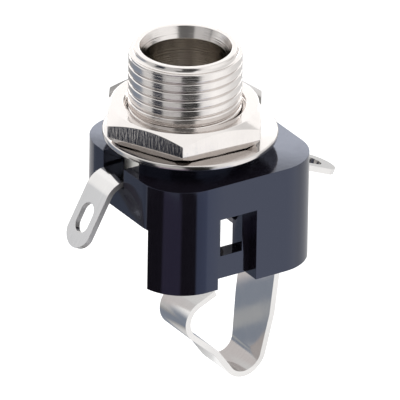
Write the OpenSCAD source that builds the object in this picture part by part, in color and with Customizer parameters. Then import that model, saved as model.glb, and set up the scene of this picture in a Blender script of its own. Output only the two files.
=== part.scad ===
// Panel-mount mono jack socket for a 6.35 mm plug, in millimetres.
// The origin is on the plug's axis, in the plane where a panel seats. +Z points out of the panel
// along the threaded bushing, -Y is the side with the open contact pocket and -X the side where
// the ground lug comes out.

/* [Bushing] */
// Outer diameter of the thread
thread_d = 9.525; // [9.1:0.005:9.9]
// Diameter of the bore that guides the plug
plug_bore_d = 6.9; // [6.5:0.05:7.3]
// Height of the rim above the panel seat
bushing_h = 8.05; // [6:0.05:12]
// Outer diameter of the flat rim
rim_d = 8.62; // [8.3:0.01:9]
// Height of the plain neck below the rim
neck_h = 0.4; // [0.2:0.05:0.8]
// Height of the bevel from the neck out to the thread
rim_bevel_h = 0.15; // [0.05:0.05:0.5]
// Diameter of the countersunk mouth at the rim
mouth_d = 7.85; // [7.5:0.05:8.1]
// Depth of the countersunk mouth
mouth_h = 0.95; // [0.4:0.05:1.5]
// Diameter of the shoulder that clamps the ground ring
shoulder_d = 10; // [9.8:0.05:10.4]
// Diameter of the shank inside the housing
shank_d = 8.7; // [8.2:0.05:9]
// Diameter of the end that is flared under the housing
flare_d = 10; // [9.4:0.05:10.6]
// Height of the flared end
flare_h = 0.8; // [0.4:0.05:1.4]

/* [Nut and washer] */
// Width of the nut across its flats
nut_af = 12.7; // [12:0.05:14]
// Thickness of the nut
nut_t = 2.4; // [1.8:0.05:4]
// How far inside the flats the nut's upper corner bevels start
nut_face_inset = 0.2; // [0.05:0.05:0.5]
// How far outside the flats its lower corner bevels start
nut_foot_reach = 0.15; // [0.05:0.05:0.3]
// Angle of the corner bevels
nut_bevel_angle = 30; // [15:1:40]
// Height of the slanted band at the foot of each flat
nut_band_h = 0.5; // [0.2:0.05:0.8]
// Slant of that band from the upright
nut_band_angle = 20; // [5:1:30]
// Diameter of the countersink at each end of the nut's hole
nut_mouth_d = 10.3; // [9.9:0.05:11]
// Turn of the nut on the thread
nut_turn = -3.5; // [-30:0.5:30]
// Outer diameter of the washer
washer_d = 14.7; // [13:0.05:16]
// Hole in the washer
washer_hole_d = 10.6; // [10.1:0.05:11.2]
// Thickness of the washer
washer_t = 0.5; // [0.3:0.05:1]
// Direction in which the loose washer has slid on the thread
washer_slide_angle = -33; // [-180:1:180]

/* [Housing] */
// Width of the housing along X
housing_w = 15.75; // [15:0.05:18]
// Depth of the housing along Y
housing_d = 15.75; // [15:0.05:18]
// Radius of the housing's upright corners
corner_r = 4; // [2.5:0.1:4.5]
// Distance from the plug's axis to the left wall
axis_to_left = 6.83; // [6.5:0.01:7.5]
// How far the left wall steps in behind the ground channel
rear_inset = 0.4; // [0.1:0.05:0.6]
// Distance from the plug's axis to the front wall
axis_to_front = 8.28; // [7.8:0.01:8.8]
// Thickness of the upper plate
plate_t = 4.1; // [3.6:0.05:5]
// Height of the block below the plate
block_h = 5.45; // [4.5:0.05:7]
// Depth of the block behind the front wall
block_t = 2.5; // [2.3:0.02:3]
// Depth of the block's closed left end
block_end_t = 3.15; // [3.05:0.05:3.4]
// Length of that end along the front wall
block_end_l = 4.3; // [3.5:0.1:4.8]
// Width of the arm that holds the tip contact
arm_w = 3; // [2.4:0.05:3.2]
// Length of that arm from the front wall
arm_l = 12.3; // [11.6:0.1:13]
// Outer diameter of the collar round the bushing's shoulder
collar_d = 11.8; // [11:0.05:12.4]
// Height of the collar above the housing's top
collar_h = 1.1; // [0.6:0.05:2]

/* [Contact pocket] */
// Width of the pocket's slot in the front wall
pocket_w = 3.73; // [3:0.01:4.4]
// Offset of the pocket from the plug's axis
pocket_x = 0.13; // [-1:0.01:0.4]
// Distance from the housing's top to the top of the pocket
pocket_drop = 3.1; // [2.6:0.05:3.4]
// Thickness of the front wall
front_wall = 1; // [0.8:0.05:1.3]
// Depth of the recess above the bar
recess_depth = 2.1; // [1.7:0.02:2.2]
// Height of the bar across the pocket
bar_h = 2.06; // [1.4:0.02:2.4]
// Height of the bar's underside above the block's
bar_lift = 0.42; // [0.2:0.02:0.8]
// Width of the jamb on each side of the pocket's window
jamb_w = 0.8; // [0.5:0.05:1.2]
// Height left above the window, below the plate
lintel_h = 0.25; // [0.1:0.05:0.6]
// Bevel on the window's upper corners
window_bevel = 0.4; // [0.2:0.05:0.9]

/* [Contacts] */
// Thickness of the contact strip
strip_t = 0.5; // [0.4:0.02:0.6]
// Width of the solder lugs
lug_w = 3.2; // [2.8:0.05:3.5]
// Width of a lug's oblong hole
lug_hole_w = 1.7; // [1.2:0.05:2]
// Length of a lug's oblong hole
lug_hole_l = 2.65; // [2.1:0.05:3]
// Metal left between a lug's hole and its round end
lug_margin = 1.35; // [0.8:0.05:1.5]
// Length of the ground lug beyond its bend
ground_lug_l = 5.2; // [4.8:0.05:7]
// Slope of the ground lug below the horizontal
ground_slope = 62; // [20:1:80]
// Radius of the ground lug's bend, at the middle of the metal
ground_bend_r = 1.8; // [0.6:0.1:2.2]
// How far inside the left wall that bend starts
ground_bend_inset = 0.4; // [0:0.05:0.6]
// Offset of the ground lug from the plug's axis
ground_y = 0.47; // [-0.5:0.01:0.6]
// Depth of the channel that takes the ground strip
channel_drop = 1.8; // [1.5:0.05:2.6]
// Width of that channel
channel_w = 3.8; // [3.6:0.05:4.4]
// Width of the gap in the collar above the channel
collar_gap_w = 4.6; // [4.5:0.05:5.2]
// Length of the tip lug beyond its bend
tip_lug_l = 6.35; // [5.5:0.05:8]
// Slope of the tip lug below the horizontal
tip_slope = 23; // [10:1:45]
// Distance from the housing's top to the start of the tip lug's bend
tip_drop = 3.9; // [3.6:0.05:4.6]
// Distance from the right wall to the middle of the tip strip
tip_inset = 0.92; // [0.85:0.01:1.05]
// Width of the tip strip in the housing
tip_w = 5.3; // [4.6:0.05:5.6]
// Offset of that width from the plug's axis
tip_y = -0.2; // [-0.4:0.05:0.2]
// Height above the spring's foot where its leg starts to narrow
taper_h = 3.6; // [1:0.1:6]
// Width of the tip strip at its knee
knee_w = 4.1; // [3.4:0.05:4.4]
// Lean of the spring's leg from the upright
leg_lean = 6.7; // [4:0.1:8]
// Length of the spring's leg below the housing
leg_l = 10.6; // [9:0.1:12]
// Radius of the loop at the spring's foot
foot_r = 1.73; // [1.4:0.01:2]
// Slope of the strip as it rises from the foot
rise_slope = 54.6; // [50:0.1:58]
// Length of that first rise
rise_l = 2.05; // [1.6:0.05:2.4]
// Slope of the strip below the knee
shin_slope = 41.6; // [38:0.1:45]
// Length of the strip below the knee
shin_l = 2.7; // [2.2:0.05:3]
// Radius of the knee that touches the plug's tip
knee_r = 1.75; // [1.4:0.01:1.9]
// Slope of the free end above the knee
end_slope = 24.4; // [15:0.1:35]
// Length of the free end
end_l = 1.85; // [1.2:0.05:2.2]

/* [Fits] */
// Clearance round a piece that seats in another
fit_gap = 0.05; // [0.02:0.01:0.08]

/* [Hidden] */
$fn = 96;

// Radius of the tip lug's bend, at the middle of the metal
tip_bend_r = 1.2 * strip_t;
// Radius of the easy bends at the top of the leg and between rise and shin
ease_r = 2.9;
// How far a cut runs past the face that it opens
past = 1;
// Radius of a lug's round end, as a share of half its width
lug_round = 1.04;
// Largest turn between two points of a bend's outline
bend_step = 5;

// Levels
housing_top = -collar_h;
plate_bottom = housing_top - plate_t;
block_bottom = plate_bottom - block_h;
channel_floor = housing_top - channel_drop;
ring_top = channel_floor + strip_t;
washer_top = washer_t;
pocket_top = housing_top - pocket_drop;
bar_bottom = block_bottom + bar_lift;
bar_top = bar_bottom + bar_h;
window_top = plate_bottom - lintel_h;
tip_bend_z = housing_top - tip_drop;

// Walls, seen from above
left_x = -axis_to_left;
rear_left_x = left_x + rear_inset;
right_x = left_x + housing_w;
front_y = -axis_to_front;
back_y = front_y + housing_d;
tip_x = right_x - tip_inset;
tip_shoulder_x = tip_x + strip_t / 2;
channel_y = ground_y - channel_w / 2;
ground_bend_x = left_x + ground_bend_inset;

// Holes that pieces pass through
shank_hole_d = shank_d + 2 * fit_gap;
washer_play = (washer_hole_d - thread_d) / 2;
washer_slide = washer_play - fit_gap;

// Rectangle with rounded corners, from one corner to the other.
module rounded_area(from, to, r) {
    translate([from.x + r, from.y]) square([to.x - from.x - 2 * r, to.y - from.y]);
    translate([from.x, from.y + r]) square([to.x - from.x, to.y - from.y - 2 * r]);
    for (x = [from.x + r, to.x - r], y = [from.y + r, to.y - r]) translate([x, y]) circle(r);
}

// Block between two corners.
module span(from, to) translate(from) cube(to - from);

// Middle line of a folded strip, seen from the side, as points with their headings. Each step is a
// straight run, the bend after it, left when positive, and the bend's radius.
function strip_line(steps, at, heading, i = 0) =
    i == len(steps) ? [] :
    let (
        run = steps[i][0],
        bend = steps[i][1],
        r = steps[i][2],
        side = sign(bend),
        end = at + run * [cos(heading), sin(heading)],
        centre = end + side * r * [-sin(heading), cos(heading)],
        parts = ceil(abs(bend) / bend_step),
        arc = bend == 0 ? [[end, heading]] :
            [for (k = [0:parts]) let (h = heading + bend * k / parts)
                [centre - side * r * [-sin(h), cos(h)], h]],
        last = arc[len(arc) - 1]
    )
    concat(arc, strip_line(steps, last[0], last[1], i + 1));

// Metal strip folded along that line, which starts at a point in the XZ plane with a heading.
module folded_strip(steps, at, heading, w) {
    line = concat([[at, heading]], strip_line(steps, at, heading));
    function offset_by(d) = [for (p = line) p[0] + d * [-sin(p[1]), cos(p[1])]];
    left = offset_by(strip_t / 2);
    right = offset_by(-strip_t / 2);
    rotate([90, 0, 0]) linear_extrude(w, center = true)
        polygon(concat(left, [for (k = [len(right) - 1:-1:0]) right[k]]));
}

// What is cut from a strip to make a solder lug of it: the oblong hole and the round end. The lug
// runs along X for its length and lies in the XY plane.
module lug_cuts(l) {
    hole_far = l - lug_margin - lug_hole_w / 2;
    hole_near = hole_far - lug_hole_l + lug_hole_w;
    end_r = lug_round * lug_w / 2;
    linear_extrude(2 * past, center = true) {
        for (x = [hole_near, hole_far]) translate([x, 0]) circle(d = lug_hole_w);
        translate([hole_near, -lug_hole_w / 2]) square([hole_far - hole_near, lug_hole_w]);
        difference() {
            translate([l - end_r, -lug_w]) square([end_r + 2 * past, 2 * lug_w]);
            translate([l - end_r, 0]) circle(end_r);
        }
    }
}

// Outline of the upper plate, whose left wall steps in behind the ground channel.
module plate_outline() {
    rounded_area([rear_left_x, front_y], [right_x, back_y], corner_r);
    intersection() {
        rounded_area([left_x, front_y], [right_x, back_y], corner_r);
        translate([left_x, front_y]) square([housing_w, channel_y + channel_w - front_y]);
    }
}

// Outline of what hangs below the plate: the front block and the arm behind its right end.
module block_outline() {
    intersection() {
        plate_outline();
        union() {
            translate([left_x, front_y]) square([housing_w, block_t]);
            translate([left_x, front_y]) square([block_end_l, block_end_t]);
            translate([right_x - arm_w, front_y]) square([arm_w, arm_l]);
        }
    }
}

// Room for the bushing and the ground ring: shoulder, shank and flared end.
module bushing_seat() {
    translate([0, 0, channel_floor]) cylinder(d = shoulder_d + 2 * fit_gap, h = -channel_floor + past);
    translate([0, 0, plate_bottom - past]) cylinder(d = shank_hole_d, h = plate_t + 2 * past);
    translate([0, 0, plate_bottom])
        cylinder(d1 = flare_d + 2 * fit_gap, d2 = shank_hole_d, h = flare_h);
}

// Channel in the top of the left wall for the ground strip, with a wider gap in the collar above it
// and a round lip under the strip's bend.
module ground_channel() {
    gap_y = ground_y - collar_gap_w / 2;
    lip_r = ground_bend_r - strip_t / 2;
    lip_z = channel_floor - lip_r;
    span([left_x - past, channel_y, channel_floor], [0, channel_y + channel_w, past]);
    span([left_x - past, gap_y, housing_top], [0, gap_y + collar_gap_w, past]);
    difference() {
        span([left_x - past, channel_y, lip_z], [ground_bend_x, channel_y + channel_w, past]);
        translate([ground_bend_x, channel_y, lip_z]) rotate([90, 0, 0])
            cylinder(r = lip_r - fit_gap, h = 3 * channel_w, center = true);
    }
}

// Contact pocket: a slot down the front wall, a bar across it and, above the bar, a recess as wide as
// the window with bevelled upper corners that opens at its back.
module contact_pocket() {
    low_x = pocket_x - pocket_w / 2;
    high_x = low_x + pocket_w;
    window_low = low_x + jamb_w;
    window_high = high_x - jamb_w;
    span([low_x, front_y - past, block_bottom - past], [high_x, front_y + front_wall, pocket_top]);
    span([low_x, front_y - past, block_bottom - past], [high_x, front_y + block_t + past, bar_bottom]);
    span([window_low, front_y - past, bar_top], [window_high, front_y + recess_depth, pocket_top]);
    translate([0, front_y + block_t + past, 0]) rotate([90, 0, 0]) linear_extrude(block_t + past)
        polygon([
            [window_low, bar_top], [window_high, bar_top],
            [window_high, window_top - window_bevel], [window_high - window_bevel, window_top],
            [window_low + window_bevel, window_top], [window_low, window_top - window_bevel]
        ]);
}

// Slot for the tip strip, and the channel in the right wall that its lug slides up.
module tip_slot() {
    half_w = tip_w / 2 + fit_gap;
    half_lug = lug_w / 2 + fit_gap;
    low_x = tip_x - strip_t / 2 - fit_gap;
    high_x = tip_shoulder_x + fit_gap;
    top_z = tip_bend_z + tip_bend_r + strip_t / 2 + fit_gap;
    span([low_x, tip_y - half_w, block_bottom - past], [high_x, tip_y + half_w, top_z]);
    span([low_x, -half_lug, block_bottom - past], [right_x + past, half_lug, top_z]);
}

// Black moulded housing.
module housing() {
    color("#17181f") difference() {
        union() {
            translate([0, 0, plate_bottom]) linear_extrude(plate_t) plate_outline();
            translate([0, 0, block_bottom]) linear_extrude(block_h) block_outline();
            translate([0, 0, housing_top]) cylinder(d = collar_d, h = -housing_top);
        }
        bushing_seat();
        ground_channel();
        contact_pocket();
        tip_slot();
    }
}

// Turned bushing: its shoulder holds the ground ring down and its end is flared over.
module bushing() {
    color("#cfcbc6") rotate_extrude() polygon([
        [plug_bore_d / 2, plate_bottom],
        [flare_d / 2, plate_bottom],
        [shank_d / 2, plate_bottom + flare_h],
        [shank_d / 2, ring_top],
        [shoulder_d / 2, ring_top],
        [shoulder_d / 2, 0],
        [thread_d / 2, 0],
        [thread_d / 2, bushing_h - neck_h - rim_bevel_h],
        [rim_d / 2, bushing_h - neck_h],
        [rim_d / 2, bushing_h],
        [mouth_d / 2, bushing_h],
        [plug_bore_d / 2, bushing_h - mouth_h]
    ]);
}

// Hexagon nut with bevelled corners and a slanted band at its foot, tightened down on the washer.
module nut() {
    corner_d = nut_af / cos(30);
    face_d = nut_af - 2 * nut_face_inset;
    foot_d = nut_af + 2 * nut_foot_reach;
    hole_d = thread_d + 2 * fit_gap;
    bevel_h = (corner_d - face_d) / 2 * tan(nut_bevel_angle);
    foot_h = (corner_d - foot_d) / 2 * tan(nut_bevel_angle);
    foot_x = nut_af / 2 - nut_band_h * tan(nut_band_angle);
    mouth_depth = (nut_mouth_d - hole_d) / 2;
    color("#d3cfca") translate([0, 0, washer_top]) rotate(nut_turn) intersection() {
        intersection_for (turn = [30, 90, 150]) rotate([90, 0, turn])
            linear_extrude(2 * nut_af, center = true) polygon([
                [-foot_x, 0], [foot_x, 0], [nut_af / 2, nut_band_h], [nut_af / 2, nut_t],
                [-nut_af / 2, nut_t], [-nut_af / 2, nut_band_h]
            ]);
        rotate_extrude() polygon([
            [hole_d / 2, mouth_depth],
            [nut_mouth_d / 2, 0],
            [foot_d / 2, 0],
            [corner_d / 2, foot_h],
            [corner_d / 2, nut_t - bevel_h],
            [face_d / 2, nut_t],
            [nut_mouth_d / 2, nut_t],
            [hole_d / 2, nut_t - mouth_depth]
        ]);
    }
}

// Plain washer, slid to one side on the thread.
module washer() {
    color("#c9c6c2") rotate(washer_slide_angle) translate([washer_slide, 0, 0]) difference() {
        cylinder(d = washer_d, h = washer_t);
        translate([0, 0, -past]) cylinder(d = washer_hole_d, h = washer_t + 2 * past);
    }
}

// Ground contact: a ring under the bushing's shoulder, with a strip that runs out through the
// channel, bends down at the left wall and ends in a solder lug.
module ground_contact() {
    start_x = shank_hole_d / 2 + fit_gap;
    lug_x = -ground_bend_x + ground_bend_r * sin(ground_slope);
    lug_z = channel_floor + strip_t / 2 - ground_bend_r * (1 - cos(ground_slope));
    steps = [
        [-ground_bend_x - start_x, ground_slope, ground_bend_r],
        [ground_lug_l + past, 0, 0]
    ];
    color("#bdbab6") {
        difference() {
            translate([0, 0, channel_floor]) cylinder(d = shoulder_d, h = strip_t);
            translate([0, 0, channel_floor - past]) cylinder(d = shank_hole_d, h = strip_t + 2 * past);
        }
        translate([0, ground_y, 0]) difference() {
            folded_strip(steps, [-start_x, channel_floor + strip_t / 2], 180, lug_w);
            translate([-lug_x, 0, lug_z]) rotate([0, 180 - ground_slope, 0]) lug_cuts(ground_lug_l);
        }
    }
}

// Tip contact: one strip folded into a spring that leans into the plug's path below the housing,
// with a solder lug that comes out of the right wall.
module tip_contact() {
    lug_x = tip_x + tip_bend_r * (1 + sin(tip_slope));
    lug_z = tip_bend_z + tip_bend_r * cos(tip_slope);
    blank_l = tip_lug_l + past;
    steps = [
        [blank_l, 90 + tip_slope, tip_bend_r],
        [tip_bend_z - block_bottom, -leg_lean, ease_r],
        [leg_l, -(90 - leg_lean + rise_slope), foot_r],
        [rise_l, rise_slope - shin_slope, ease_r],
        [shin_l, -(180 - shin_slope - end_slope), knee_r],
        [end_l, 0, 0]
    ];
    loop_x = tip_x - leg_l * sin(leg_lean) - foot_r;
    foot_z = block_bottom - leg_l * cos(leg_lean);
    taper_top = foot_z + taper_h;
    taper_low = foot_z - foot_r + strip_t / 2;
    reach = 2 * housing_w;
    color("#b4b3b2") difference() {
        intersection() {
            folded_strip(steps, [lug_x + blank_l * cos(tip_slope), lug_z - blank_l * sin(tip_slope)],
                180 - tip_slope, 2 * tip_w);
            union() {
                span([-reach, -knee_w / 2, -reach], [loop_x, knee_w / 2, reach]);
                span([loop_x, -reach, -reach], [tip_shoulder_x, reach, reach]);
                span([tip_shoulder_x, -lug_w / 2, -reach], [reach, lug_w / 2, reach]);
            }
            rotate([90, 0, 90]) linear_extrude(2 * reach, center = true) polygon([
                [-knee_w / 2, -reach], [knee_w / 2, -reach], [knee_w / 2, taper_low],
                [tip_y + tip_w / 2, taper_top], [tip_y + tip_w / 2, reach],
                [tip_y - tip_w / 2, reach], [tip_y - tip_w / 2, taper_top], [-knee_w / 2, taper_low]
            ]);
        }
        translate([lug_x, 0, lug_z]) rotate([0, tip_slope, 0]) lug_cuts(tip_lug_l);
    }
}

housing();
bushing();
nut();
washer();
ground_contact();
tip_contact();
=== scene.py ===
import math

import bmesh
import bpy
from mathutils import Matrix, Vector


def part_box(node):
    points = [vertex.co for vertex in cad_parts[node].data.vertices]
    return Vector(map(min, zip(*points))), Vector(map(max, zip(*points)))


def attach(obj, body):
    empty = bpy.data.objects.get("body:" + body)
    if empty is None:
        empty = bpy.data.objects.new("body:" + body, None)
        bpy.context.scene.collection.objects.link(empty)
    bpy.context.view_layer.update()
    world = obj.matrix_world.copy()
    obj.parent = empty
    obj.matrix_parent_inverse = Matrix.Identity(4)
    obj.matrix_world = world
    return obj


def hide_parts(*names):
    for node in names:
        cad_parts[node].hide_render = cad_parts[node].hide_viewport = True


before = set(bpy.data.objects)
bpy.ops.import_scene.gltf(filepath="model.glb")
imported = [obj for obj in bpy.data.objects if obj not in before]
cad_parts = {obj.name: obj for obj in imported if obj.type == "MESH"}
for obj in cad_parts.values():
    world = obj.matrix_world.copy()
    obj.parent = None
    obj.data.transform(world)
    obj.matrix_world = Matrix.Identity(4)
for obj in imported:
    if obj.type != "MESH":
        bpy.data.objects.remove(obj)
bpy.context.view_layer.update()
mm = 0.001  # pieces are modelled in millimetres and brought to metres when they are finished
print("frame loaded:", ", ".join(sorted(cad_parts)))

# Limits in millimetres and degrees under which two things in a mesh count as one
meshCare = {
    "sameVertex": 1e-4,
    "sameNodeVertex": 1e-3,  # for the loose triangles of a CAD node
    "sameRadius": 1e-3,
    "flatAngle": 0.4,  # for neighbouring facets of a CAD node
}


def boxOf(nodeName):
    low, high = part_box(nodeName)
    return Vector(low) / mm, Vector(high) / mm


# Small helpers for meshes
def mergeVertices(bm, distance=meshCare["sameVertex"]):
    bmesh.ops.remove_doubles(bm, verts=bm.verts, dist=distance)


def arcPoints(centreX, centreZ, radius, first, last, steps):
    turns = [math.radians(first + (last - first) * i / steps) for i in range(steps + 1)]
    return [(centreX + radius * math.cos(t), centreZ + radius * math.sin(t)) for t in turns]


def spinOutline(points, steps):
    bm = bmesh.new()
    verts = [bm.verts.new((radius, 0, height)) for radius, height in points]
    edges = [bm.edges.new((verts[i - 1], verts[i])) for i in range(len(verts))]
    bmesh.ops.spin(bm, geom=verts + edges, cent=(0, 0, 0), axis=(0, 0, 1),
                   angle=2 * math.pi, steps=steps, use_merge=True)
    mergeVertices(bm)
    bmesh.ops.recalc_face_normals(bm, faces=bm.faces)
    return bm


def copyOfNode(nodeName):
    bm = bmesh.new()
    bm.from_mesh(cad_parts[nodeName].data)
    bmesh.ops.scale(bm, vec=Vector((1, 1, 1)) / mm, verts=bm.verts)
    mergeVertices(bm, meshCare["sameNodeVertex"])
    flat = math.radians(meshCare["flatAngle"])
    bmesh.ops.dissolve_limit(bm, angle_limit=flat, verts=bm.verts, edges=bm.edges)
    return bm


def cutAway(bm, point, outwards):
    geom = bm.verts[:] + bm.edges[:] + bm.faces[:]
    cut = bmesh.ops.bisect_plane(bm, geom=geom, dist=meshCare["sameVertex"], plane_co=point,
                                 plane_no=outwards, clear_outer=True)
    rim = [item for item in cut["geom_cut"] if isinstance(item, bmesh.types.BMEdge)]
    bmesh.ops.edgeloop_fill(bm, edges=rim)


def anyEdge(edge):
    return True


def outerEdge(edge):
    return edge.is_convex


def roundEdges(bm, shape, keep=anyEdge):
    bm.normal_update()
    sharp = math.radians(shape["roundFrom"])
    chosen = [e for e in bm.edges if len(e.link_faces) == 2 and e.calc_face_angle(0) > sharp and keep(e)]
    bmesh.ops.bevel(bm, geom=chosen, offset=shape["edgeRound"], offset_type="OFFSET",
                    segments=shape["segments"], profile=0.5, affect="EDGES", material=-1, clamp_overlap=True)
    mergeVertices(bm)


def meshObject(bm, name):
    mesh = bpy.data.meshes.new(name)
    bm.to_mesh(mesh)
    bm.free()
    thing = bpy.data.objects.new(name, mesh)
    bpy.context.collection.objects.link(thing)
    return thing


def finishPiece(bm, name, nodeName, material, creaseFrom=40):
    piece = meshObject(bm, name)
    raw = piece.data
    raw.shade_smooth()
    raw.set_sharp_from_angle(angle=math.radians(creaseFrom))
    weighted = piece.modifiers.new("weightedNormals", "WEIGHTED_NORMAL")
    weighted.keep_sharp = True
    depsgraph = bpy.context.evaluated_depsgraph_get()
    baked = bpy.data.meshes.new_from_object(piece.evaluated_get(depsgraph))
    piece.modifiers.clear()
    piece.data = baked
    bpy.data.meshes.remove(raw)
    baked.name = name
    baked.transform(Matrix.Scale(mm, 4))
    baked.materials.clear()
    baked.materials.append(material)
    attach(piece, "root")
    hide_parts(nodeName)
    print("piece", name, "has", len(baked.polygons), "faces")


# Small helpers for materials
def newMaterial(name):
    material = bpy.data.materials.new(name)
    material.use_nodes = True
    return material, material.node_tree, material.node_tree.nodes["Principled BSDF"]


def addNode(tree, kind, **values):
    node = tree.nodes.new(kind)
    for key, value in values.items():
        setattr(node, key, value)
    return node


def setInputs(node, values):
    for key, value in values.items():
        node.inputs[key].default_value = value


def feed(tree, socket, value):
    if isinstance(value, bpy.types.NodeSocket):
        tree.links.new(value, socket)
    elif value is not None:
        socket.default_value = value


def newGroup(name, inputs, outputs):
    group = bpy.data.node_groups.new(name, "ShaderNodeTree")
    for socketName, kind, value in inputs:
        socket = group.interface.new_socket(socketName, in_out="INPUT", socket_type=kind)
        socket.default_value = value
    for socketName, kind in outputs:
        group.interface.new_socket(socketName, in_out="OUTPUT", socket_type=kind)
    return group, addNode(group, "NodeGroupInput"), addNode(group, "NodeGroupOutput")


def useGroup(tree, group, values):
    node = addNode(tree, "ShaderNodeGroup", node_tree=group)
    setInputs(node, values)
    return node


def calculate(tree, operation, a, b=None):
    node = addNode(tree, "ShaderNodeMath", operation=operation)
    feed(tree, node.inputs[0], a)
    feed(tree, node.inputs[1], b)
    return node.outputs[0]


def mixColour(tree, factor, a, b):
    node = addNode(tree, "ShaderNodeMix", data_type="RGBA")
    for place, value in ((0, factor), (6, a), (7, b)):  # places of the factor and the two colours
        feed(tree, node.inputs[place], value)
    return node.outputs[2]


def mixValue(tree, factor, a, b):
    node = addNode(tree, "ShaderNodeMix", data_type="FLOAT")
    for place, value in ((0, factor), (2, a), (3, b)):  # places of the factor and the two values
        feed(tree, node.inputs[place], value)
    return node.outputs[0]


def shareBetween(tree, value, low, high, **values):
    share = addNode(tree, "ShaderNodeMapRange", **values)
    setInputs(share, {"From Min": low, "From Max": high})
    tree.links.new(value, share.inputs["Value"])
    return share


def coordsOf(tree, output="Object"):
    return addNode(tree, "ShaderNodeTexCoord").outputs[output]


def splitVector(tree, vector):
    parts = addNode(tree, "ShaderNodeSeparateXYZ")
    tree.links.new(vector, parts.inputs[0])
    return parts.outputs


def radiusOf(tree, x, y):
    squares = calculate(tree, "ADD", calculate(tree, "MULTIPLY", x, x), calculate(tree, "MULTIPLY", y, y))
    return calculate(tree, "SQRT", squares)


def addNoise(tree, vector, values):
    noise = addNode(tree, "ShaderNodeTexNoise", noise_dimensions="3D")
    setInputs(noise, values)
    tree.links.new(vector, noise.inputs["Vector"])
    return noise


def bumpFrom(tree, height, strength, distance):
    bump = addNode(tree, "ShaderNodeBump")
    setInputs(bump, {"Strength": strength, "Distance": distance * mm})
    tree.links.new(height, bump.inputs["Height"])
    return bump.outputs["Normal"]


# Lines left by a lathe tool: rings round the plug's axis
turnedLook = {"detail": 3.0, "drift": 90.0}  # drift is the noise per metre along a ring


def makeTurnedLines():
    group, given, result = newGroup(
        "turnedLines",
        [("Spacing", "NodeSocketFloat", 0.05), ("Unevenness", "NodeSocketFloat", 0.5)],
        [("Height", "NodeSocketFloat")])
    x, y, z = splitVector(group, coordsOf(group))
    across = calculate(group, "ADD", radiusOf(group, x, y), z)
    spacing = calculate(group, "MULTIPLY", given.outputs["Spacing"], mm)
    place = addNode(group, "ShaderNodeCombineXYZ")
    group.links.new(calculate(group, "DIVIDE", across, spacing), place.inputs[0])
    group.links.new(calculate(group, "MULTIPLY", x, turnedLook["drift"]), place.inputs[1])
    group.links.new(calculate(group, "MULTIPLY", y, turnedLook["drift"]), place.inputs[2])
    lines = addNoise(group, place.outputs[0], {"Scale": 1.0, "Detail": turnedLook["detail"]})
    group.links.new(given.outputs["Unevenness"], lines.inputs["Roughness"])
    group.links.new(lines.outputs["Fac"], result.inputs["Height"])
    return group


# Drawn lines along one direction: rolled strip and milled flats
drawnLook = {"roughness": 0.6}


def makeDrawnLines():
    group, given, result = newGroup(
        "drawnLines",
        [("Across", "NodeSocketVector", (1, 1, 1)), ("Detail", "NodeSocketFloat", 3.0)],
        [("Height", "NodeSocketFloat")])
    stretch = addNode(group, "ShaderNodeVectorMath", operation="MULTIPLY")
    group.links.new(coordsOf(group), stretch.inputs[0])
    group.links.new(given.outputs["Across"], stretch.inputs[1])
    lines = addNoise(group, stretch.outputs[0], {"Scale": 1.0, "Roughness": drawnLook["roughness"]})
    group.links.new(given.outputs["Detail"], lines.inputs["Detail"])
    group.links.new(lines.outputs["Fac"], result.inputs["Height"])
    return group


# Faint handling marks that change the gloss in patches
markLook = {"detail": 5.0, "roughness": 0.65, "spread": (0.35, 0.7)}  # noise that gives low and high


def makeHandlingMarks():
    group, given, result = newGroup(
        "handlingMarks",
        [("Size", "NodeSocketFloat", 2.0), ("Low", "NodeSocketFloat", 0.1), ("High", "NodeSocketFloat", 0.3)],
        [("Roughness", "NodeSocketFloat"), ("Mask", "NodeSocketFloat")])
    look = markLook
    patches = addNoise(group, coordsOf(group), {"Detail": look["detail"], "Roughness": look["roughness"]})
    scale = calculate(group, "DIVIDE", 1.0 / mm, given.outputs["Size"])
    group.links.new(scale, patches.inputs["Scale"])
    spread = shareBetween(group, patches.outputs["Fac"], *look["spread"])
    group.links.new(given.outputs["Low"], spread.inputs["To Min"])
    group.links.new(given.outputs["High"], spread.inputs["To Max"])
    group.links.new(spread.outputs[0], result.inputs["Roughness"])
    group.links.new(patches.outputs["Fac"], result.inputs["Mask"])
    return group


turnedLines = makeTurnedLines()
drawnLines = makeDrawnLines()
handlingMarks = makeHandlingMarks()


def addMarks(tree, size, gloss):
    marks = useGroup(tree, handlingMarks, {"Size": size, "Low": gloss[0], "High": gloss[1]})
    return marks.outputs["Roughness"], marks.outputs["Mask"]


def finishShader(tree, shader, colour, roughness, normal):
    tree.links.new(colour, shader.inputs["Base Color"])
    tree.links.new(roughness, shader.inputs["Roughness"])
    tree.links.new(normal, shader.inputs["Normal"])


# Glossy black moulding with a blue cast in its reflections
plasticLook = {
    "base": (0.0076, 0.0062, 0.0100, 1), "worn": (0.0105, 0.0090, 0.0135, 1),
    "cast": (0.58, 0.68, 1.0, 1), "ior": 1.7,
    "gloss": (0.07, 0.13), "markSize": 1.6,
    "bump": 0.16, "bumpHeight": 0.02,
}


def makePlastic(name):
    look = plasticLook
    material, tree, shader = newMaterial(name)
    setInputs(shader, {"IOR": look["ior"], "Specular Tint": look["cast"]})
    roughness, mask = addMarks(tree, look["markSize"], look["gloss"])
    colour = mixColour(tree, mask, look["base"], look["worn"])
    finishShader(tree, shader, colour, roughness, bumpFrom(tree, mask, look["bump"], look["bumpHeight"]))
    return material


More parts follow.
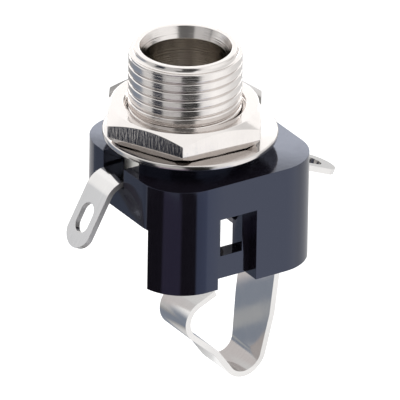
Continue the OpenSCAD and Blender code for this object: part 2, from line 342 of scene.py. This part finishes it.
# Nickel plate over turned or stamped metal
nickelLook = {
    "bright": ((0.77, 0.735, 0.712, 1), (0.70, 0.665, 0.642, 1)),  # two tones of each plating
    "soft": ((0.68, 0.65, 0.63, 1), (0.60, 0.57, 0.55, 1)),
    "markSize": 1.2, "lineSpacing": 0.12, "lineHeight": 0.02,
    "streaks": (6000, 6000, 900), "streakDetail": 4.0,  # noise per metre across and along a milled flat
    "sideFacing": 0.2,  # upright part of the normal under which a face is a side
    # the shoulder colour is a painted highlight: near white, standing in for light that falls on the shoulder
    # under the washer
    "shoulder": (0.95, 0.94, 0.90, 1), "shoulderTop": -0.05, "shoulderGloss": 0.45,
    "bore": (0.72, 0.685, 0.635, 1), "boreRadius": 3.47,
}


def makeNickel(name, gloss, lineStrength, plate="bright", flatStreaks=0.0, hollow=False):
    look = nickelLook
    material, tree, shader = newMaterial(name)
    setInputs(shader, {"Metallic": 1.0})
    roughness, mask = addMarks(tree, look["markSize"], gloss)
    colour = mixColour(tree, mask, *look[plate])
    height = useGroup(tree, turnedLines, {"Spacing": look["lineSpacing"]}).outputs["Height"]
    if hollow:  # the plating is thin in the bore, and below the panel seat it is unpolished
        x, y, z = splitVector(tree, coordsOf(tree))
        isLow = calculate(tree, "LESS_THAN", z, look["shoulderTop"] * mm)
        roughness = mixValue(tree, isLow, roughness, look["shoulderGloss"])
        # painted highlight: below the panel seat the colour goes near white for light falling on the shoulder
        # under the washer; the rougher gloss is the unpolished metal
        colour = mixColour(tree, isLow, colour, look["shoulder"])
        isBore = calculate(tree, "LESS_THAN", radiusOf(tree, x, y), look["boreRadius"] * mm)
        colour = mixColour(tree, isBore, colour, look["bore"])
    if flatStreaks:  # the sides are milled upright, the ends are turned
        streaks = useGroup(tree, drawnLines, {"Across": look["streaks"], "Detail": look["streakDetail"]})
        upright = calculate(tree, "ABSOLUTE", splitVector(tree, coordsOf(tree, "Normal"))[2])
        isSide = calculate(tree, "LESS_THAN", upright, look["sideFacing"])
        milled = calculate(tree, "MULTIPLY", streaks.outputs["Height"], flatStreaks)
        height = mixValue(tree, isSide, height, milled)
    finishShader(tree, shader, colour, roughness, bumpFrom(tree, height, lineStrength, look["lineHeight"]))
    return material


# Satin rolled strip
stripLook = {
    "base": (0.70, 0.685, 0.67, 1), "dull": (0.61, 0.60, 0.595, 1),
    "gloss": (0.09, 0.17), "markSize": 1.5,
    "grain": (400, 9000, 400), "grainDetail": 3.0,  # noise per metre, closest across the strip
    "bump": 0.04, "bumpHeight": 0.02,
    "edgeFacing": 0.7,  # sideways part of the normal over which a face is a cut edge
}


def makeStrip(name, shearedEdge=0.0):
    look = stripLook
    material, tree, shader = newMaterial(name)
    setInputs(shader, {"Metallic": 1.0})
    roughness, mask = addMarks(tree, look["markSize"], look["gloss"])
    if shearedEdge:  # the cut sides aren't as smooth as the rolled faces
        sideways = calculate(tree, "ABSOLUTE", splitVector(tree, coordsOf(tree, "Normal"))[1])
        isEdge = calculate(tree, "GREATER_THAN", sideways, look["edgeFacing"])
        roughness = mixValue(tree, isEdge, roughness, shearedEdge)
    lines = useGroup(tree, drawnLines, {"Across": look["grain"], "Detail": look["grainDetail"]})
    grain = lines.outputs["Height"]
    colour = mixColour(tree, grain, look["base"], look["dull"])
    finishShader(tree, shader, colour, roughness, bumpFrom(tree, grain, look["bump"], look["bumpHeight"]))
    return material


blackMoulding = makePlastic("blackMoulding")
bushingNickel = makeNickel("bushingNickel", gloss=(0.10, 0.20), lineStrength=0.7, hollow=True)
nutNickel = makeNickel("nutNickel", gloss=(0.07, 0.14), lineStrength=0.10, flatStreaks=13.0)
washerNickel = makeNickel("washerNickel", gloss=(0.10, 0.20), lineStrength=0.12, plate="soft")
groundStrip = makeStrip("groundStrip", shearedEdge=0.6)
springStrip = makeStrip("springStrip")
print("materials made:", len(bpy.data.materials))

# Housing: the moulding with its edges eased
housingShape = {"edgeRound": 0.09, "segments": 3, "roundFrom": 50}


def makeHousing():
    bm = copyOfNode("housing")
    roundEdges(bm, housingShape, outerEdge)
    finishPiece(bm, "mouldedHousing", "housing", blackMoulding)


# Bushing: turned, with a narrow groove for each turn of its thread and a hollow round under its rim
bushingShape = {
    "threadDiameter": 9.525, "pitch": 25.4 / 32, "threadStart": 0.343, "threadFoot": 0.0, "runOut": 0.3,
    "grooveDepth": 0.2, "grooveShare": 0.1, "crestRound": 0.1,
    "rim": 8.62, "rimRound": 0.1, "neckHeight": 0.18, "coveRadius": 0.27,
    "bore": 6.9, "mouth": 7.75, "mouthDepth": 1.0,
    "shoulder": 10.0, "shoulderFoot": -2.4, "shank": 8.7, "flare": 10.0, "flareHeight": 0.8,
    "edgeRound": 0.05, "segments": 3, "roundFrom": 20, "creaseFrom": 60,
    "steps": 192, "ringsPerPitch": 26, "arcSteps": 8,
}


def cutThread(bm, foot, head):
    s = bushingShape
    for v in bm.verts:
        radius = v.co.xy.length
        if abs(radius - s["threadDiameter"] / 2) > meshCare["sameRadius"] or not foot < v.co.z < head:
            continue
        turn = v.co.z / s["pitch"] - math.atan2(v.co.y, v.co.x) / (2 * math.pi) - s["threadStart"]
        fromGroove = (turn - math.floor(turn) - 0.5) / s["grooveShare"]
        ending = min(1.0, (v.co.z - foot) / s["runOut"], (head - v.co.z) / s["runOut"])
        v.co.xy *= 1 - s["grooveDepth"] * ending * math.exp(-fromGroove ** 2) / radius


def makeBushing():
    s = bushingShape
    low, high = boxOf("bushing")
    thread, rim, mouth, bore = (s[k] / 2 for k in ("threadDiameter", "rim", "mouth", "bore"))
    shoulder, shank, flare = (s[k] / 2 for k in ("shoulder", "shank", "flare"))
    coveTop = high.z - s["neckHeight"]
    foot, head = s["threadFoot"], coveTop - s["coveRadius"] - s["crestRound"]
    rings = math.ceil((head - foot) / s["pitch"] * s["ringsPerPitch"])
    wall = [(thread, foot + (head - foot) * i / rings) for i in range(rings + 1)]
    crest = arcPoints(thread - s["crestRound"], head, s["crestRound"], 0, 90, s["arcSteps"])
    cove = arcPoints(rim + s["coveRadius"], coveTop, s["coveRadius"], 270, 180, s["arcSteps"])
    lip = arcPoints(rim - s["rimRound"], high.z - s["rimRound"], s["rimRound"], 0, 90, s["arcSteps"])
    outline = [
        (bore, low.z), (flare, low.z), (shank, low.z + s["flareHeight"]),
        (shank, s["shoulderFoot"]), (shoulder, s["shoulderFoot"]), (shoulder, foot),
        *wall, *crest[1:], *cove, *lip, (mouth, high.z), (bore, high.z - s["mouthDepth"]),
    ]
    bm = spinOutline(outline, s["steps"])
    roundEdges(bm, s, lambda edge: abs(edge.verts[0].co.xy.length - thread) > meshCare["sameRadius"])
    cutThread(bm, foot, head)
    finishPiece(bm, "threadedBushing", "bushing", bushingNickel, s["creaseFrom"])


# Nut: a turned blank with six flats milled on it, and a slanted band at the foot of each
nutShape = {
    "sides": 6, "flats": 12.7, "turn": -3.5, "face": 12.3, "foot": 13.0, "bevelAngle": 30,
    "mouth": 10.3, "hole": 9.625, "bandHeight": 0.75, "bandAngle": 30, "seat": 11.5, "seatHeight": 0.09,
    "edgeRound": 0.05, "segments": 3, "roundFrom": 15, "mergeWithin": 0.03, "steps": 192,
}


def makeNut():
    s = nutShape
    low, high = boxOf("nut")
    half = math.pi / s["sides"]  # half the angle that one side takes
    corner = s["flats"] / 2 / math.cos(half)
    rise = math.tan(math.radians(s["bevelAngle"]))
    mouthDepth = (s["mouth"] - s["hole"]) / 2
    face, mouth, hole, seat, footRadius = (s[k] / 2 for k in ("face", "mouth", "hole", "seat", "foot"))
    foot = low.z + s["seatHeight"]
    bm = spinOutline([
        (hole, low.z + mouthDepth), (mouth, low.z), (seat, low.z), (seat, foot), (footRadius, foot),
        (corner, foot + (corner - footRadius) * rise), (corner, high.z - (corner - face) * rise),
        (face, high.z), (mouth, high.z), (hole, high.z - mouthDepth),
    ], s["steps"])
    lean = math.radians(s["bandAngle"])
    up = Vector((0, 0, 1))
    for side in range(s["sides"]):
        angle = math.radians(s["turn"]) + half * (1 + 2 * side)
        outwards = Vector((math.cos(angle), math.sin(angle), 0))
        bandTop = outwards * s["flats"] / 2 + up * (low.z + s["bandHeight"])
        cutAway(bm, bandTop, outwards)
        cutAway(bm, bandTop, outwards * math.cos(lean) - up * math.sin(lean))
    mergeVertices(bm, s["mergeWithin"])  # slivers beside the cuts would hold the rounds back
    roundEdges(bm, s)
    finishPiece(bm, "hexNut", "nut", nutNickel)


# Washer: stamped ring with rolled edges
washerShape = {
    "diameter": 14.7, "hole": 10.6, "edgeRound": 0.14, "segments": 4, "roundFrom": 50, "steps": 192,
}


def makeWasher():
    s = washerShape
    low, high = boxOf("washer")
    middle = (low + high) / 2
    inner, outer = s["hole"] / 2, s["diameter"] / 2
    bm = spinOutline([(inner, low.z), (outer, low.z), (outer, high.z), (inner, high.z)], s["steps"])
    bmesh.ops.translate(bm, vec=(middle.x, middle.y, 0), verts=bm.verts)
    roundEdges(bm, s)
    finishPiece(bm, "plainWasher", "washer", washerNickel)


# Contacts: stamped and folded strip with eased edges
contactShape = {"edgeRound": 0.06, "segments": 2, "roundFrom": 50, "creaseFrom": 30}


def makeContact(nodeName, pieceName, material):
    bm = copyOfNode(nodeName)
    roundEdges(bm, contactShape, outerEdge)
    finishPiece(bm, pieceName, nodeName, material, contactShape["creaseFrom"])


makeHousing()
makeBushing()
makeNut()
makeWasher()
makeContact("ground_contact", "groundContact", groundStrip)
makeContact("tip_contact", "tipSpring", springStrip)

# Camera at the photograph's angle
cameraView = {
    "azimuth": -32.76, "elevation": 26.69, "roll": -0.97, "distance": 1200.0, "clip": (50.0, 10000.0),
    "shiftRight": 1.32, "shiftUp": -4.65, "aimZ": -1.1, "pixelsPerMm": 12.0, "pixels": 400, "sensor": 36.0,
}


def makeCamera():
    c = cameraView
    azimuth, elevation, roll = (math.radians(c[k]) for k in ("azimuth", "elevation", "roll"))
    forward = Vector((-math.sin(azimuth) * math.cos(elevation), math.cos(azimuth) * math.cos(elevation),
                      -math.sin(elevation)))
    level = Vector((math.cos(azimuth), math.sin(azimuth), 0))
    upright = level.cross(forward)
    right = level * math.cos(roll) - upright * math.sin(roll)
    up = level * math.sin(roll) + upright * math.cos(roll)
    place = Vector((0, 0, c["aimZ"])) - forward * c["distance"] + right * c["shiftRight"] + up * c["shiftUp"]
    turn = Matrix((right, up, -forward)).transposed().to_4x4()
    data = bpy.data.cameras.new("photoCamera")
    data.sensor_width = c["sensor"]
    data.lens = c["sensor"] * c["distance"] * c["pixelsPerMm"] / c["pixels"]
    data.clip_start, data.clip_end = (limit * mm for limit in c["clip"])
    camera = bpy.data.objects.new("photoCamera", data)
    camera.matrix_world = Matrix.Translation(place * mm) @ turn
    bpy.context.collection.objects.link(camera)
    bpy.context.scene.camera = camera
    print("camera at", [round(v, 4) for v in camera.location])


makeCamera()

# Pale studio: a floor well below the part, and a room of light and dark fields
floorLook = {"z": -60.0, "size": 3000.0, "colour": 0.86, "roughness": 0.9, "glow": 0.5}
darkBlue = (0.03, 0.034, 0.05)
room = {
    "cameraSide": -122.8,  # direction of the camera's side of the room
    # grey or colour of the room round the part, by degrees from the camera's side: below, low and high
    "under": ((-180, 1.2), (-158, 1.2), (-148, 0.3), (-110, 0.3), (-90, 1.2), (180, 1.2)),
    "low": ((-180, 0.35), (-165, 0.4), (-150, 0.4), (-125, (0.28, 0.32, 0.39)), (-100, (0.30, 0.34, 0.41)),
            (-92, 0.75), (-70, 0.75), (-66, darkBlue), (-47, darkBlue), (-43, 0.6), (-9, 0.62), (-5, 0.03),
            (26, 0.03), (36, 1.05), (62, 1.3), (90, 1.2), (107, 0.95), (140, 0.85), (160, 0.75),
            (174, 0.85), (180, 0.35)),
    "high": ((-180, 0.8), (-150, 1.0), (-135, 1.25), (-100, 1.25), (-75, 0.66), (-69, 0.62), (-67, 0.36),
             (-64, 0.36), (-62, 0.62), (-24, 0.66), (-19, 0.15), (19, 0.15), (24, 1.15), (68, 1.12),
             (90, 0.98), (135, 0.85), (180, 0.8)),
    "nadir": 0.25, "zenith": 1.2,
    # sines of the heights over which one passes into the next
    "nadirToUnder": (-0.95, -0.86), "underToLow": (-0.62, -0.47),
    "lowToHigh": (-0.15, 0.35), "highToZenith": (0.75, 0.95),
}


def asColour(value):
    return (value, value, value, 1) if isinstance(value, (int, float)) else (*value, 1)


def rampOver(tree, value, low, high, stops):
    ramp = addNode(tree, "ShaderNodeValToRGB")
    elements = ramp.color_ramp.elements
    for index, (at, colour) in enumerate(stops):
        place = (at - low) / (high - low)
        element = elements[index] if index < 2 else elements.new(place)  # a new ramp has two
        element.position = place
        element.color = asColour(colour)
    tree.links.new(shareBetween(tree, value, low, high).outputs[0], ramp.inputs["Fac"])
    return ramp.outputs["Color"]


def rampByAngle(tree, x, y, stops):
    angle = calculate(tree, "MULTIPLY", calculate(tree, "ARCTAN2", y, x), 180 / math.pi)
    return rampOver(tree, angle, -180, 180, stops)


def rampByHeight(tree, height, stops):
    inMetres = [(at * mm, colour) for at, colour in stops]
    return rampOver(tree, height, inMetres[0][0], inMetres[-1][0], inMetres)


def blendOver(tree, value, bounds, a, b):
    share = shareBetween(tree, value, *bounds, interpolation_type="SMOOTHSTEP")
    return mixColour(tree, share.outputs[0], a, b)


def turnFromCamera(tree, vector):
    turned = addNode(tree, "ShaderNodeVectorRotate", rotation_type="Z_AXIS")
    setInputs(turned, {"Angle": -math.radians(room["cameraSide"])})
    tree.links.new(vector, turned.inputs["Vector"])
    return splitVector(tree, turned.outputs[0])


def makeWorld():
    world = bpy.data.worlds.new("studioRoom")
    bpy.context.scene.world = world
    world.use_nodes = True
    tree = world.node_tree
    x, y, z = turnFromCamera(tree, coordsOf(tree, "Generated"))
    under, low, high = (rampByAngle(tree, x, y, room[k]) for k in ("under", "low", "high"))
    light = blendOver(tree, z, room["nadirToUnder"], asColour(room["nadir"]), under)
    light = blendOver(tree, z, room["underToLow"], light, low)
    light = blendOver(tree, z, room["lowToHigh"], light, high)
    light = blendOver(tree, z, room["highToZenith"], light, asColour(room["zenith"]))
    rays = addNode(tree, "ShaderNodeLightPath")
    seen = mixColour(tree, rays.outputs["Is Camera Ray"], light, asColour(1.0))  # a white background
    tree.links.new(seen, tree.nodes["Background"].inputs["Color"])


def makeFloor():
    look = floorLook
    bm = bmesh.new()
    bmesh.ops.create_grid(bm, x_segments=1, y_segments=1, size=look["size"] * mm / 2)
    bmesh.ops.translate(bm, vec=(0, 0, look["z"] * mm), verts=bm.verts)
    floor = meshObject(bm, "studioFloor")
    material, tree, shader = newMaterial("paleFloor")
    setInputs(shader, {"Base Color": asColour(look["colour"]), "Roughness": look["roughness"],
                       "Emission Color": asColour(1.0)})
    rays = addNode(tree, "ShaderNodeLightPath")
    glow = calculate(tree, "MULTIPLY", rays.outputs["Is Camera Ray"], look["glow"])
    tree.links.new(glow, shader.inputs["Emission Strength"])
    floor.data.materials.append(material)
    floor.visible_glossy = False


# Cards that only reflections see
def finishCard(bm, name):
    bmesh.ops.scale(bm, vec=(mm, mm, mm), verts=bm.verts)
    card = meshObject(bm, name)
    material, tree, shader = newMaterial(name)
    setInputs(shader, {"Base Color": asColour(0), "Roughness": 1.0, "Specular IOR Level": 0.0,
                       "Emission Strength": 1.0})
    card.data.materials.append(material)
    card.visible_camera = card.visible_diffuse = card.visible_shadow = card.visible_transmission = False
    return tree, coordsOf(tree), shader.inputs["Emission Color"]


# A round skirt in front of the part, coloured by degrees from the camera's side
skirtBlack, skirtViolet = 0.005, (0.29, 0.225, 0.31)
skirtCard = {
    "radius": 30.0, "low": -45.0, "high": -12.0, "steps": 96,
    "colours": ((-78, skirtBlack), (-38.5, skirtBlack), (-34.5, skirtViolet), (-2.5, skirtViolet),
                (1.5, skirtBlack), (25.5, skirtBlack), (29.5, (0.58, 0.63, 0.77)), (48.5, (0.70, 0.76, 0.92)),
                (52.0, (0.96, 1.02, 1.16)), (54.5, 1.28)),
}


def makeSkirtCard():
    c = skirtCard
    first, last = c["colours"][0][0], c["colours"][-1][0]
    start = math.radians(room["cameraSide"] + first)
    x, y = c["radius"] * math.cos(start), c["radius"] * math.sin(start)
    bm = bmesh.new()
    ends = [bm.verts.new((x, y, c[k])) for k in ("low", "high")]
    edge = bm.edges.new(ends)
    bmesh.ops.spin(bm, geom=ends + [edge], cent=(0, 0, 0), axis=(0, 0, 1), angle=math.radians(last - first),
                   steps=c["steps"])
    tree, place, colour = finishCard(bm, "skirtCard")
    x, y, z = turnFromCamera(tree, place)
    tree.links.new(rampByAngle(tree, x, y, c["colours"]), colour)


# A light behind the part, coloured by height on lines that lean towards one side
backCard = {
    "distance": 32.0, "halfWidth": 40.0, "lean": -0.1,
    "colours": ((4.0, 0.3), (9.4, 0.3), (9.8, 3.2), (14.4, 3.2), (15.8, 1.35), (50.0, 1.35)),
}


def makeBackCard():
    c = backCard
    low, high = c["colours"][0][0], c["colours"][-1][0]
    bm = bmesh.new()
    corners = ((-1, low), (1, low), (1, high), (-1, high))
    bm.faces.new([bm.verts.new((-c["distance"], side * c["halfWidth"], height)) for side, height in corners])
    turn = Matrix.Rotation(math.radians(room["cameraSide"]), 3, "Z")
    bmesh.ops.rotate(bm, cent=(0, 0, 0), matrix=turn, verts=bm.verts)
    tree, place, colour = finishCard(bm, "backCard")
    x, y, z = turnFromCamera(tree, place)
    height = calculate(tree, "ADD", z, calculate(tree, "MULTIPLY", y, c["lean"]))
    tree.links.new(rampByHeight(tree, height, c["colours"]), colour)


# Cards behind the spring's leg and its knee, coloured by height in the same way
legBlue, legPale, footWarm = (0.28, 0.315, 0.38), (0.46, 0.475, 0.49), (0.73, 0.69, 0.685)
springCards = {
    "legCard": {
        "y": 12.0, "left": -5.0, "right": 14.0, "lean": 0.25, "leanFrom": -2.6,
        "colours": ((-32.0, 1.0), (-29.0, 0.8), (-27.6, 0.6), (-26.9, legBlue), (-25.3, legBlue),
                    (-24.9, legPale), (-23.5, legPale), (-23.1, legBlue), (-20.9, legBlue), (-20.0, footWarm),
                    (-11.0, footWarm), (-8.0, 0.8), (-2.0, 0.85)),
    },
    "kneeCard": {
        "y": 8.5, "left": -7.9, "right": -2.2, "lean": 0.0, "leanFrom": 0.0,
        "colours": ((-30.0, 1.0), (-26.5, 0.85), (-24.9, 0.5), (-24.0, legBlue), (-21.6, legBlue),
                    (-20.0, 0.46), (-18.6, 0.66), (-15.0, footWarm), (-2.0, 0.8)),
    },
}


def makeSpringCard(name):
    c = springCards[name]
    low, high = c["colours"][0][0], c["colours"][-1][0]
    bm = bmesh.new()
    corners = ((c["left"], low), (c["right"], low), (c["right"], high), (c["left"], high))
    bm.faces.new([bm.verts.new((x, c["y"], z)) for x, z in corners])
    tree, place, colour = finishCard(bm, name)
    x, y, z = splitVector(tree, place)
    aside = calculate(tree, "MULTIPLY", calculate(tree, "SUBTRACT", x, c["leanFrom"] * mm), c["lean"])
    tree.links.new(rampByHeight(tree, calculate(tree, "ADD", z, aside), c["colours"]), colour)


makeWorld()
makeFloor()
makeSkirtCard()
makeBackCard()
for cardName in springCards:
    makeSpringCard(cardName)
bpy.context.scene.view_settings.view_transform = "Standard"
print("studio made")
